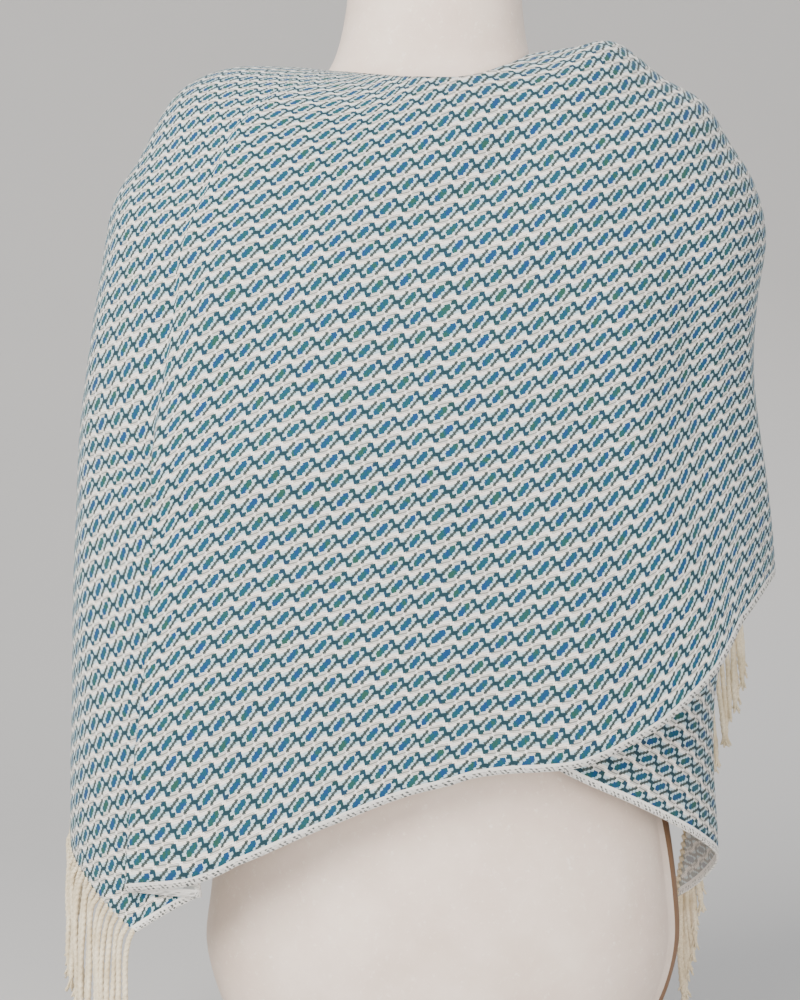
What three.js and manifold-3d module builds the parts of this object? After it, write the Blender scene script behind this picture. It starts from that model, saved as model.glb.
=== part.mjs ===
// A handwoven stole with a twisted fringe, wound round a limbless dress form.
//
// One long cloth is laid across the back and both of its ends come forward over the shoulders.
// The inner end crosses the front under the outer one and stops at the right back. The outer end
// crosses the front on top, takes one deep pleat at the left and stops round the left back.
//
// Millimetres, +Z up. The form stands on its flat underside, whose middle is the origin.
// The garment's front faces -Y, and +X is at the right of somebody who looks at the front.

import * as THREE from 'three';
import { mergeVertices } from 'three/addons/utils/BufferGeometryUtils.js';
import Module from 'manifold-3d';

const wasm = await Module();
wasm.setup();

// ---- driving dimensions ----

const clothThickness = 2.0;       // two soft layers of floats in a twill-based weave
const seamGap = 0.3;              // between one stretch of the cloth and the next
const layerInset = 9;             // how far the inner turn lies inside the outer one
const neckClear = 0.7;            // ring at which the inner turn's upper edge lies
const roundLeft = 2.6;            // how square the section is at the left, 2 is an ellipse
const roundRight = 2.15;          // and at the right

const pleatRadius = 2.2;          // of the pleat's two folds, at the middle of the cloth
const pleatDepth = 50;            // how far its hidden layer runs back, at the hem
const pleatTop = 500;             // height at which the pleat begins as a soft bend
const pleatShut = 400;            // height under which its layers lie on each other
const pleatHemHeight = 163;       // height of the hem where the pleat turns under
const pleatHemDrop = 5;           // how much lower the hem comes out of the pleat

const strandThickness = 3.0;      // a twisted cord of warp ends
const knotThickness = 4.4;        // the knot that stops it
const strandLength = 88;          // from the cloth's end to the tip
const strandSpread = 10;          // how much the lengths differ
const outerStrands = 50;          // the outer end's, one for each bundle of warp ends
const innerStrands = 24;          // the inner end's hang over one another, so fewer have room
const shingleLean = 0.19;         // how far they lean out for each millimetre down, to lie so
const strandReach = 9;            // how far a strand goes on past the cloth before it hangs
const fringeUnder = 397;          // height over which the inner fringe hangs under the outer turn
const backingWidth = 2.6;         // strip of first fringe rows that holds the strands
const outerRows = 16;             // facets up each stretch of the outer turn
const innerRows = 14;             // and of the inner turn
const formSides = 36;             // facets round the form
const degree = Math.PI / 180;

// Rings of the wrap from the neckline down, on the outside of the outer turn. Heights are those
// of the ring at the front, right, back and left. The widths and depths run from the form's axis.
// tuck is how much further in the inner turn is drawn at the right.
const rings = [
  { atFront: 704, atRight: 731, atBack: 727, atLeft: 722, right: 66, left: 78, front: 66, back: 63, tuck: 0 },
  { atFront: 686, atRight: 735, atBack: 714, atLeft: 723, right: 92, left: 104, front: 82, back: 78, tuck: 0 },
  { atFront: 664, atRight: 739, atBack: 696, atLeft: 720, right: 122, left: 145, front: 94, back: 91, tuck: 0 },
  { atFront: 640, atRight: 714, atBack: 672, atLeft: 709, right: 156, left: 174, front: 104, back: 103, tuck: 0 },
  { atFront: 616, atRight: 697, atBack: 646, atLeft: 691, right: 184, left: 191, front: 112, back: 112, tuck: 0 },
  { atFront: 590, atRight: 667, atBack: 615, atLeft: 658, right: 203, left: 208, front: 119, back: 119, tuck: 0 },
  { atFront: 560, atRight: 640, atBack: 580, atLeft: 626, right: 219, left: 227, front: 124, back: 123, tuck: 0 },
  { atFront: 525, atRight: 604, atBack: 540, atLeft: 582, right: 227, left: 235, front: 128, back: 125, tuck: 0 },
  { atFront: 485, atRight: 558, atBack: 495, atLeft: 530, right: 221, left: 243, front: 130, back: 125, tuck: 0 },
  { atFront: 440, atRight: 505, atBack: 448, atLeft: 470, right: 219, left: 250, front: 130, back: 124, tuck: 0 },
  { atFront: 395, atRight: 440, atBack: 400, atLeft: 410, right: 226, left: 253, front: 129, back: 123, tuck: 2 },
  { atFront: 345, atRight: 370, atBack: 350, atLeft: 350, right: 234, left: 255, front: 128, back: 122, tuck: 10 },
  { atFront: 290, atRight: 300, atBack: 295, atLeft: 290, right: 236, left: 256, front: 127, back: 122, tuck: 35 },
  { atFront: 235, atRight: 240, atBack: 240, atLeft: 235, right: 236, left: 257, front: 126, back: 122, tuck: 38 },
  { atFront: 175, atRight: 175, atBack: 175, atLeft: 175, right: 236, left: 257, front: 126, back: 122, tuck: 33 },
  { atFront: 100, atRight: 100, atBack: 100, atLeft: 100, right: 236, left: 257, front: 126, back: 122, tuck: 31 },
];

// The lower selvedge of the outer turn: its height at each angle, from the pleat in the front
// left, round the right shoulder's side and the back, to where it passes under the outer end.
const outerHem = [
  { angle: -48, height: 163 }, { angle: -33, height: 170 }, { angle: -25, height: 184 },
  { angle: -11, height: 212 }, { angle: 2, height: 240 }, { angle: 20, height: 247 },
  { angle: 35, height: 272 }, { angle: 47, height: 299 }, { angle: 57, height: 325 },
  { angle: 71, height: 354 }, { angle: 90, height: 372 }, { angle: 104, height: 380 },
  { angle: 122, height: 330 }, { angle: 145, height: 256 }, { angle: 180, height: 222 },
  { angle: 212, height: 258 }, { angle: 238, height: 340 }, { angle: 260, height: 395 },
];

// The lower selvedge of the inner turn, from the left side across the front to the right back.
const innerHem = [
  { angle: -100, height: 395 }, { angle: -70, height: 422 }, { angle: -45, height: 410 },
  { angle: -25, height: 372 }, { angle: 0, height: 306 }, { angle: 19, height: 248 },
  { angle: 42, height: 216 }, { angle: 66, height: 189 }, { angle: 90, height: 167 },
  { angle: 119, height: 133 },
];

// The outer end's fringed edge, from its lower corner at the front left to its upper one.
const outerEnd = [
  { angle: -47, height: 130 }, { angle: -66, height: 160 }, { angle: -90, height: 196 },
  { angle: -112, height: 300 }, { angle: -130, height: 415 }, { angle: -146, height: 530 },
];

// The outer end's upper selvedge, from the neckline over the left shoulder to that corner.
const outerEndTop = [
  { angle: -44, ring: 0 }, { angle: -76, ring: 0.1 }, { angle: -97, ring: 0.8 },
  { angle: -107, ring: 2.4 }, { angle: -117, ring: 4.2 }, { angle: -130, ring: 5.8 },
  { angle: -146, ring: 7.2 },
];

// The inner end's fringed edge, from its lower corner at the right back to its upper one.
const innerEnd = [
  { angle: 119, height: 133 }, { angle: 114, height: 180 }, { angle: 109, height: 240 },
  { angle: 103, height: 320 }, { angle: 105, height: 400 }, { angle: 110, height: 480 },
  { angle: 119, height: 575 },
];

// A strand from where it hangs to its tip: how far along it each section is, and how thick.
const strandShape = [
  { share: 0.2, width: strandThickness }, { share: 0.82, width: strandThickness },
  { share: 0.87, width: knotThickness }, { share: 1, width: strandThickness * 1.3 },
];

// Sections of the dress form from its underside up: half widths, depths and the middle's place.
const formSections = [
  { height: 0, half: 104, front: 66, back: 68, middle: -1 },
  { height: 6, half: 112, front: 72, back: 74, middle: -1 },
  { height: 26, half: 128, front: 84, back: 87, middle: -1 },
  { height: 54, half: 142, front: 94, back: 98, middle: -1 },
  { height: 84, half: 155, front: 103, back: 106, middle: -1 },
  { height: 115, half: 162, front: 107, back: 110, middle: -1 },
  { height: 147, half: 160, front: 106, back: 109, middle: 0 },
  { height: 195, half: 154, front: 101, back: 105, middle: 0 },
  { height: 250, half: 143, front: 95, back: 100, middle: 0 },
  { height: 320, half: 131, front: 90, back: 94, middle: 0 },
  { height: 390, half: 135, front: 96, back: 94, middle: 0 },
  { height: 450, half: 147, front: 107, back: 98, middle: 0 },
  { height: 510, half: 158, front: 111, back: 101, middle: -1 },
  { height: 560, half: 166, front: 104, back: 100, middle: -2 },
  { height: 605, half: 171, front: 92, back: 94, middle: -3 },
  { height: 640, half: 168, front: 79, back: 84, middle: -4 },
  { height: 664, half: 152, front: 68, back: 73, middle: -5 },
  { height: 682, half: 126, front: 61, back: 64, middle: -5 },
  { height: 698, half: 98, front: 57, back: 58, middle: -5 },
  { height: 712, half: 79, front: 55, back: 55, middle: -5 },
  { height: 730, half: 68, front: 53, back: 53, middle: -5 },
  { height: 760, half: 62, front: 52, back: 52, middle: -4 },
  { height: 800, half: 59, front: 51, back: 51, middle: -3 },
  { height: 808, half: 57, front: 49, back: 49, middle: -3 },
];

// ---- small helpers ----

const mix = (from, to, share) => from + (to - from) * share;
const clamp = (value) => Math.min(1, Math.max(0, value));
const ease = (value) => {
  const t = clamp(value);
  return t * t * (3 - 2 * t);
};

// A smooth curve through one column of a table, at a whole or broken row number.
function column(table, key, row) {
  const last = table.length - 1;
  const place = Math.min(last, Math.max(0, row));
  const at = Math.min(last - 1, Math.floor(place));
  const t = place - at;
  const b = table[at][key];
  const c = table[at + 1][key];
  const a = at > 0 ? table[at - 1][key] : 2 * b - c;
  const d = at + 2 <= last ? table[at + 2][key] : 2 * c - b;
  const bend = 2 * a - 5 * b + 4 * c - d;
  return b + 0.5 * t * (c - a + t * (bend + t * (3 * (b - c) + d - a)));
}

// The row number at which a rising or falling column has a value.
function rowOf(table, key, value) {
  const sign = Math.sign(table[table.length - 1][key] - table[0][key]);
  let row = 0;
  while (row < table.length - 2 && sign * (table[row + 1][key] - value) < 0) {
    row += 1;
  }
  return row + clamp((value - table[row][key]) / (table[row + 1][key] - table[row][key]));
}

const hemHeight = (table, angle) => column(table, 'height', rowOf(table, 'angle', angle));
const signedPower = (value, power) => Math.sign(value) * Math.abs(value) ** power;

// ---- the wrap's surface ----

// A point of the outer turn's outside at an angle from the front, positive to the right, and a
// ring number. inner is 1 where the cloth is the inner turn, which is drawn in at the right.
function onWrap(angle, ring, inner = 0) {
  const sine = Math.sin(angle * degree);
  const cosine = Math.cos(angle * degree);
  const side = sine > 0 ? 'right' : 'left';
  const face = cosine > 0 ? 'front' : 'back';
  const power = 2 / (sine > 0 ? roundRight : roundLeft);
  const half = column(rings, side, ring) - (sine > 0 ? inner * column(rings, 'tuck', ring) : 0);
  const sideHeight = column(rings, sine > 0 ? 'atRight' : 'atLeft', ring);
  const faceHeight = column(rings, cosine > 0 ? 'atFront' : 'atBack', ring);
  return new THREE.Vector3(
    half * signedPower(sine, power),
    -column(rings, face, ring) * signedPower(cosine, power),
    mix(faceHeight, sideHeight, sine * sine),
  );
}

// The same, moved out along the surface's normal, or in where out is negative.
function offWrap(angle, ring, out, inner = 0) {
  const step = 0.02;
  const point = onWrap(angle, ring, inner);
  const round = onWrap(angle + 10 * step, ring, inner).sub(onWrap(angle - 10 * step, ring, inner));
  const above = Math.max(0, ring - step);
  const down = onWrap(angle, above + 2 * step, inner).sub(onWrap(angle, above, inner));
  return point.addScaledVector(down.cross(round).normalize(), out);
}

// The ring number at an angle and height.
function ringAt(angle, height) {
  let above = 0;
  let below = rings.length - 1;
  for (let pass = 0; pass < 24; pass += 1) {
    const ring = (above + below) / 2;
    if (onWrap(angle, ring).z > height) {
      above = ring;
    } else {
      below = ring;
    }
  }
  return (above + below) / 2;
}

// Millimetres round the wrap for each degree.
function perDegree(angle, ring, inner = 0) {
  return onWrap(angle + 0.5, ring, inner).distanceTo(onWrap(angle - 0.5, ring, inner));
}

// How far in the inner turn lies: none at the back, all of it from the left side onwards.
const insetAt = (angle) => layerInset * ease((angle - 165) / 60);

// ---- the pleat: out along the front, back under it, and on to the left ----

const pleatTurn = (height) => Math.PI * ease((pleatTop - height) / (pleatTop - pleatShut));
const pleatRun = (height) =>
  mix(3, pleatDepth, clamp((pleatShut - height) / (pleatShut - pleatHemHeight)));
const pleatAngle = (height) => -47.5 + 6.5 * ease((height - 150) / 230);

// Where the cloth is after a share of the pleat: how far it has gone left and how far in. Each
// fold is an arc that turns by the same angle, with a straight run between the two.
function pleatPath(share, height) {
  const turn = Math.max(0.02, pleatTurn(height));
  const radius = Math.PI * pleatRadius / turn;
  const run = pleatRun(height);
  const first = turn * clamp(share * 3);
  const second = turn * (1 - clamp(share * 3 - 2));
  const flat = run * clamp(share * 3 - 1);
  const back = share > 2 / 3 ? radius * (Math.sin(turn) - Math.sin(second)) : 0;
  const under = share > 2 / 3 ? radius * (Math.cos(second) - Math.cos(turn)) : 0;
  return {
    left: radius * Math.sin(first) + flat * Math.cos(turn) + back,
    inward: radius * (1 - Math.cos(first)) + flat * Math.sin(turn) + under,
  };
}

// How far the pleat lifts the front layer, fading out towards the middle of the front.
const liftFull = -26;             // angle up to which the front layer lies over the hidden ones
const liftNone = 14;              // and from which it lies on the wrap's own surface
const pleatLift = (angle, height) =>
  pleatPath(1, height).inward * ease((liftNone - angle) / (liftNone - liftFull));

// ---- stretches of the cloth: each gives a point from a share along it and a share up it ----

// Between two edges of a stretch that run up it, with its lower and upper edges between them.
function betweenEdges(first, last, low, high, along, up) {
  const corner = (key) => mix(mix(first(0)[key], last(0)[key], along),
    mix(first(1)[key], last(1)[key], along), up);
  const ruled = (key) => mix(first(up)[key], last(up)[key], along)
    + mix(low(along)[key], high(along)[key], up) - corner(key);
  return { angle: ruled('angle'), ring: ruled('ring') };
}

const frontStart = 78;
const rightEnd = 140;
const backEnd = 260;
const innerTurnover = 70;

function frontPoint(along, up) {
  const hemAngle = mix(frontStart, pleatAngle(pleatHemHeight), along);
  const hemRing = ringAt(hemAngle, hemHeight(outerHem, hemAngle));
  const ring = mix(hemRing, 0, up);
  const height = onWrap(hemAngle, ring).z;
  const angle = mix(frontStart, pleatAngle(height), along);
  return offWrap(angle, ring, pleatLift(angle, height) - clothThickness / 2);
}

function pleatPoint(along, up) {
  const angle = pleatAngle(pleatHemHeight);
  const hem = pleatHemHeight - pleatHemDrop * along;
  const ring = mix(ringAt(angle, hem), 0, up);
  const height = onWrap(angle, ring).z;
  const path = pleatPath(along, height);
  const place = pleatAngle(height) - path.left / perDegree(pleatAngle(height), ring);
  return offWrap(place, ring, pleatPath(1, height).inward - path.inward - clothThickness / 2);
}

// Where the left end begins, after the pleat.
function leftStart(up) {
  const hemAngle = pleatAngle(pleatHemHeight);
  const ring = mix(ringAt(hemAngle, pleatHemHeight - pleatHemDrop), 0, up);
  const height = onWrap(hemAngle, ring).z;
  const angle = pleatAngle(height) - pleatPath(1, height).left / perDegree(pleatAngle(height), ring);
  return { angle, ring };
}

function outerEndEdge(up) {
  const row = up * (outerEnd.length - 1);
  const angle = column(outerEnd, 'angle', row);
  return { angle, ring: ringAt(angle, column(outerEnd, 'height', row)) };
}

function leftTop(along) {
  const row = along * (outerEndTop.length - 1);
  const shift = leftStart(1).angle - outerEndTop[0].angle;
  return {
    angle: column(outerEndTop, 'angle', row) + shift * (1 - along),
    ring: Math.max(0, column(outerEndTop, 'ring', row)),
  };
}

function leftLow(along) {
  const from = leftStart(0);
  const to = outerEndEdge(0);
  return { angle: mix(from.angle, to.angle, along), ring: mix(from.ring, to.ring, along) };
}

function leftPlace(along, up) {
  return betweenEdges(leftStart, outerEndEdge, leftLow, leftTop, along, up);
}

function leftPoint(along, up) {
  const { angle, ring } = leftPlace(along, up);
  return offWrap(angle, Math.max(0, ring), -clothThickness / 2);
}

function rightPoint(along, up) {
  const angle = mix(frontStart, rightEnd, along);
  const ring = mix(ringAt(angle, hemHeight(outerHem, angle)), 0, up);
  return offWrap(angle, ring, -clothThickness / 2);
}

function backPoint(along, up) {
  const angle = mix(rightEnd, backEnd, along);
  const top = neckClear * ease((angle - 190) / 40);
  const ring = mix(ringAt(angle, hemHeight(outerHem, angle)), top, up);
  return offWrap(angle, ring, -insetAt(angle) - clothThickness / 2);
}

function innerFrontPoint(along, up) {
  const angle = mix(backEnd - 360, innerTurnover, along);
  const top = neckClear + 2 * ease((angle - 10) / 60);
  const ring = mix(ringAt(angle, hemHeight(innerHem, angle)), top, up);
  return offWrap(angle, ring, -layerInset - clothThickness / 2, 1);
}

function innerEndEdge(up) {
  const row = up * (innerEnd.length - 1);
  const angle = column(innerEnd, 'angle', row);
  return { angle, ring: ringAt(angle, column(innerEnd, 'height', row)) };
}

function innerEndPlace(along, up) {
  const first = (share) => ({
    angle: innerTurnover,
    ring: mix(ringAt(innerTurnover, hemHeight(innerHem, innerTurnover)), neckClear + 2, share),
  });
  const low = (share) => {
    const angle = mix(innerTurnover, innerEnd[0].angle, share);
    return { angle, ring: ringAt(angle, hemHeight(innerHem, angle)) };
  };
  const high = (share) => ({
    angle: mix(innerTurnover, innerEndEdge(1).angle, share),
    ring: mix(neckClear + 2, innerEndEdge(1).ring, share),
  });
  return betweenEdges(first, innerEndEdge, low, high, along, up);
}

function innerEndPoint(along, up) {
  const { angle, ring } = innerEndPlace(along, up);
  return offWrap(angle, ring, -layerInset - clothThickness / 2, 1);
}

// ---- walls ----

const steps = (count) => Array.from({ length: count + 1 }, (_, index) => index / count);

function solidFrom(positions, triangles) {
  const geometry = new THREE.BufferGeometry();
  geometry.setAttribute('position', new THREE.Float32BufferAttribute(positions, 3));
  geometry.setIndex(triangles);
  geometry.computeVertexNormals();
  return geometry;
}

// A closed wall round a sheet of middle points: its two faces lie half the thickness to each
// side, and four narrow faces close its edges. Its first and last columns are trimmed by half
// the seam gap, so that two stretches never touch.
function wall(pointAt, columns, rows, thickness = clothThickness, trim = seamGap / 2) {
  const middle = columns.map((along) => rows.map((up) => pointAt(along, up)));
  const wide = columns.length;
  const tall = rows.length;
  const nudge = (from, to) => from.addScaledVector(to.clone().sub(from).normalize(), trim);
  for (let j = 0; j < tall; j += 1) {
    nudge(middle[0][j], middle[1][j]);
    nudge(middle[wide - 1][j], middle[wide - 2][j]);
  }
  const positions = [];
  const small = 1e-3;
  const normalAt = (i, j) => {
    const along = columns[i];
    const up = rows[j];
    const alongStep = pointAt(clamp(along + small), up).sub(pointAt(clamp(along - small), up));
    const upStep = pointAt(along, clamp(up + small)).sub(pointAt(along, clamp(up - small)));
    return alongStep.cross(upStep).normalize();
  };
  for (const side of [0.5, -0.5]) {
    for (let i = 0; i < wide; i += 1) {
      for (let j = 0; j < tall; j += 1) {
        const point = middle[i][j].clone().addScaledVector(normalAt(i, j), side * thickness);
        positions.push(point.x, point.y, point.z);
      }
    }
  }
  const at = (side, i, j) => (side * wide + i) * tall + j;
  const triangles = [];
  const quad = (a, b, c, d) => triangles.push(a, b, c, a, c, d);
  for (let i = 0; i < wide - 1; i += 1) {
    for (let j = 0; j < tall - 1; j += 1) {
      quad(at(0, i, j), at(0, i + 1, j), at(0, i + 1, j + 1), at(0, i, j + 1));
      quad(at(1, i, j), at(1, i, j + 1), at(1, i + 1, j + 1), at(1, i + 1, j));
    }
    quad(at(0, i, 0), at(1, i, 0), at(1, i + 1, 0), at(0, i + 1, 0));
    quad(at(0, i + 1, tall - 1), at(1, i + 1, tall - 1), at(1, i, tall - 1), at(0, i, tall - 1));
  }
  for (let j = 0; j < tall - 1; j += 1) {
    quad(at(0, 0, j + 1), at(1, 0, j + 1), at(1, 0, j), at(0, 0, j));
    quad(at(0, wide - 1, j), at(1, wide - 1, j), at(1, wide - 1, j + 1), at(0, wide - 1, j + 1));
  }
  return solidFrom(positions, facingOut(positions, triangles));
}

// Turns every triangle round where the closed mesh faces inwards.
function facingOut(positions, triangles) {
  let volume = 0;
  const corner = (index) => new THREE.Vector3().fromArray(positions, 3 * index);
  for (let at = 0; at < triangles.length; at += 3) {
    const [a, b, c] = triangles.slice(at, at + 3).map(corner);
    volume += a.dot(b.cross(c));
  }
  return volume < 0 ? triangles.reverse() : triangles;
}

// ---- fringe ----

// A steady stand-in for chance, from 0 to 1, so that no two strands are alike.
const chance = (index, salt) => {
  const value = Math.sin(index * 12.9898 + salt * 78.233) * 43758.5453;
  return value - Math.floor(value);
};

// A strand of four sides along points, its thickness given at each.
function strand(points, widths) {
  const positions = [];
  points.forEach((point, index) => {
    const before = points[Math.max(0, index - 1)];
    const after = points[Math.min(points.length - 1, index + 1)];
    const along = after.clone().sub(before).normalize();
    const across = new THREE.Vector3(0.31, 0.95, 0.02).cross(along).normalize();
    const over = along.clone().cross(across);
    for (let corner = 0; corner < 4; corner += 1) {
      const turn = corner * Math.PI / 2;
      const rim = point.clone()
        .addScaledVector(across, Math.cos(turn) * widths[index] / 2)
        .addScaledVector(over, Math.sin(turn) * widths[index] / 2);
      positions.push(rim.x, rim.y, rim.z);
    }
  });
  const triangles = [];
  for (let ring = 0; ring < points.length - 1; ring += 1) {
    for (let corner = 0; corner < 4; corner += 1) {
      const a = ring * 4 + corner;
      const b = ring * 4 + (corner + 1) % 4;
      triangles.push(a, b, b + 4, a, b + 4, a + 4);
    }
  }
  const end = (points.length - 1) * 4;
  triangles.push(0, 2, 1, 0, 3, 2, end, end + 1, end + 2, end, end + 2, end + 3);
  return solidFrom(positions, facingOut(positions, triangles));
}

function manifoldOf(geometry) {
  const bare = geometry.clone();
  bare.deleteAttribute('normal');
  const merged = mergeVertices(bare, 1e-4);
  return new wasm.Manifold(new wasm.Mesh({
    numProp: 3,
    vertProperties: merged.attributes.position.array,
    triVerts: Uint32Array.from(merged.index.array),
  }));
}

function geometryOf(manifold) {
  const mesh = manifold.getMesh();
  return solidFrom(Array.from(mesh.vertProperties), Array.from(mesh.triVerts));
}

// One end's fringe. edge gives a place on the wrap from a share up the end. way is -1 where the
// cloth ends leftwards and 1 where it ends rightwards. inner is 1 on the inner turn, and lay says
// how deep the strands of a height lie and how far they lean out on their way down.
function fringe(pointAt, edge, rows, count, way, inner, lay) {
  const beside = (up, beyond) => {
    const tip = pointAt(1, up);
    const edgeStep = pointAt(1, clamp(up + 0.01)).sub(pointAt(1, clamp(up - 0.01)));
    const outStep = tip.clone().sub(pointAt(0.98, up));
    const outward = edgeStep.clone().cross(outStep).cross(edgeStep).normalize();
    return tip.addScaledVector(outward, beyond);
  };
  const onStrip = (up, beyond) => {
    const row = Math.min(rows - 1, Math.floor(up * rows));
    return beside(row / rows, beyond).lerp(beside((row + 1) / rows, beyond), up * rows - row);
  };
  const strip = wall((along, up) => beside(up, seamGap + along * backingWidth),
    [0, 1], steps(rows), clothThickness, 0);
  let body = manifoldOf(strip);
  for (let index = 0; index < count; index += 1) {
    const up = (index + 0.5) / count;
    const from = edge(up);
    const root = onStrip(up, seamGap + backingWidth * 0.5);
    const leaving = onStrip(up, seamGap + backingWidth + 3);
    const length = strandLength + strandSpread * (chance(index, 1) - 0.5);
    const { depth, lean } = lay(root.z);
    const reach = strandReach + chance(index, 2);
    const points = [root, leaving];
    const widths = [strandThickness * 0.7, strandThickness * 0.9];
    for (const { share, width } of strandShape) {
      const settled = 1 - Math.exp(-share * 8);
      const angle = from.angle + way * reach * settled / perDegree(from.angle, from.ring);
      const height = root.z - length * share + strandReach * settled / 2;
      const out = depth + lean * length * share;
      const lying = offWrap(angle, ringAt(angle, height), out, inner);
      const plumb = offWrap(angle, from.ring, out, inner);
      const wider = Math.hypot(plumb.x, plumb.y) > Math.hypot(lying.x, lying.y) ? plumb : lying;
      points.push(new THREE.Vector3(wider.x, wider.y, height));
      widths.push(width);
    }
    body = body.add(manifoldOf(strand(points, widths)));
  }
  return geometryOf(body);
}

const outerFringe = fringe(leftPoint, outerEndEdge, outerRows, outerStrands, -1, 0,
  () => ({ depth: -clothThickness / 2, lean: 0 }));
const innerFringe = fringe(innerEndPoint, innerEndEdge, innerRows, innerStrands, 1, 1, (height) => (
  height > fringeUnder
    ? { depth: -layerInset - clothThickness / 2, lean: -shingleLean }
    : { depth: 3 - layerInset, lean: shingleLean }));

// ---- dress form ----

function dressForm() {
  const positions = [];
  for (const section of formSections) {
    for (let side = 0; side < formSides; side += 1) {
      const turn = side / formSides * 2 * Math.PI;
      const depth = Math.sin(turn) < 0 ? section.front : section.back;
      positions.push(
        section.middle + section.half * signedPower(Math.cos(turn), 0.93),
        depth * signedPower(Math.sin(turn), 0.93),
        section.height,
      );
    }
  }
  const triangles = [];
  const last = (formSections.length - 1) * formSides;
  for (let ring = 0; ring < formSections.length - 1; ring += 1) {
    for (let side = 0; side < formSides; side += 1) {
      const a = ring * formSides + side;
      const b = ring * formSides + (side + 1) % formSides;
      triangles.push(a, b, b + formSides, a, b + formSides, a + formSides);
    }
  }
  for (let side = 1; side < formSides - 1; side += 1) {
    triangles.push(0, side + 1, side, last, last + side, last + side + 1);
  }
  return solidFrom(positions, facingOut(positions, triangles));
}

// ---- the scene ----

const woven = () => new THREE.MeshStandardMaterial({ color: '#9fb9bf', roughness: 0.9, metalness: 0 });
const cord = () => new THREE.MeshStandardMaterial({ color: '#dccfb0', roughness: 0.95, metalness: 0 });
const shell = () => new THREE.MeshStandardMaterial({ color: '#decfc3', roughness: 0.75, metalness: 0 });

const stole = new THREE.Group();
function add(name, geometry, material) {
  const mesh = new THREE.Mesh(geometry, material);
  mesh.name = name;
  stole.add(mesh);
}

// The left end is the pleat, whose folds need close columns, and the panel after it.
const fold = steps(5).map((share) => share / 3);
const pleatColumns = [...fold, 0.5, ...fold.map((share) => share + 2 / 3)];
const leftColumns = steps(16).slice(1);
const pleatPart = 0.4;
const leftWhole = (along, up) => (along <= pleatPart
  ? pleatPoint(along / pleatPart, up)
  : leftPoint((along - pleatPart) / (1 - pleatPart), up));
const leftShares = [
  ...pleatColumns.map((share) => share * pleatPart),
  ...leftColumns.map((share) => pleatPart + share * (1 - pleatPart)),
];

const outer = steps(outerRows);
const inner = steps(innerRows);
add('stole_front', wall(frontPoint, steps(22), outer), woven());
add('stole_left_end', wall(leftWhole, leftShares, outer), woven());
add('stole_right_shoulder', wall(rightPoint, steps(10), outer), woven());
add('stole_back', wall(backPoint, steps(18), outer), woven());
add('stole_inner_front', wall(innerFrontPoint, steps(22), inner), woven());
add('stole_inner_end', wall(innerEndPoint, steps(8), inner), woven());
add('fringe_outer_end', outerFringe, cord());
add('fringe_inner_end', innerFringe, cord());
add('dress_form', dressForm(), shell());

export default stole;
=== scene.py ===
import math
from functools import partial

import bmesh
import bpy
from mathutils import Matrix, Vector, noise


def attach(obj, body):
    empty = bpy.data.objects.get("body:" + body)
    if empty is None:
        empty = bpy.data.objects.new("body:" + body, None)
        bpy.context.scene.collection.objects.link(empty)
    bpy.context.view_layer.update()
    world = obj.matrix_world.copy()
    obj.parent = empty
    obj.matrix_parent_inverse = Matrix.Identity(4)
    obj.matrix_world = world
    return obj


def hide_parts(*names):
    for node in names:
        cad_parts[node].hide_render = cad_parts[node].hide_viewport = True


# A handwoven stole with a twisted fringe, wound round a dress form.
# Tables are in millimetres, as the weaver and the cutter measure; meshes are in metres.

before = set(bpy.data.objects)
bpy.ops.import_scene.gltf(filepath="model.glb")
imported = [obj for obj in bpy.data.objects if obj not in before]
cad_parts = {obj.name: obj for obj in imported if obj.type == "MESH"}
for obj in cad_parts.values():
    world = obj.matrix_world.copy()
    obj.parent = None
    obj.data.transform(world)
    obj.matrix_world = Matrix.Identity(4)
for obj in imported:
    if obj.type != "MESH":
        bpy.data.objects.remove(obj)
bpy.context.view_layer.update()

mm = 0.001


def mix(a, b, share):
    return a + (b - a) * share


def clamp(value):
    return min(1.0, max(0.0, value))


def ease(value):
    t = clamp(value)
    return t * t * (3 - 2 * t)


def chance(index, salt):  # a steady stand-in for chance, 0 to 1
    value = math.sin(index * 12.9898 + salt * 78.233) * 43758.5453
    return value - math.floor(value)


def signedPower(value, power):
    return math.copysign(abs(value) ** power, value)


def objectFrom(bm, name):  # ends the bmesh, and links its mesh to the scene
    mesh = bpy.data.meshes.new(name)
    bm.to_mesh(mesh)
    bm.free()
    made = bpy.data.objects.new(name, mesh)
    bpy.context.scene.collection.objects.link(made)
    return made


def tableOf(names, rows):
    return [dict(zip(names.split(), row)) for row in rows]


def column(table, key, row):  # a smooth curve through one column, at a broken row number
    last = len(table) - 1
    place = min(last, max(0, row))
    at = min(last - 1, int(place))
    t = place - at
    b, c = table[at][key], table[at + 1][key]
    a = table[at - 1][key] if at > 0 else 2 * b - c
    d = table[at + 2][key] if at + 2 <= last else 2 * c - b
    return b + 0.5 * t * (c - a + t * (2 * a - 5 * b + 4 * c - d + t * (3 * (b - c) + d - a)))


def rowOf(table, key, value):  # the row number at which a rising column has a value
    row = 0
    while row < len(table) - 2 and table[row + 1][key] < value:
        row += 1
    return row + clamp((value - table[row][key]) / (table[row + 1][key] - table[row][key]))


# ---- the surface that the wrap follows ----

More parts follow.
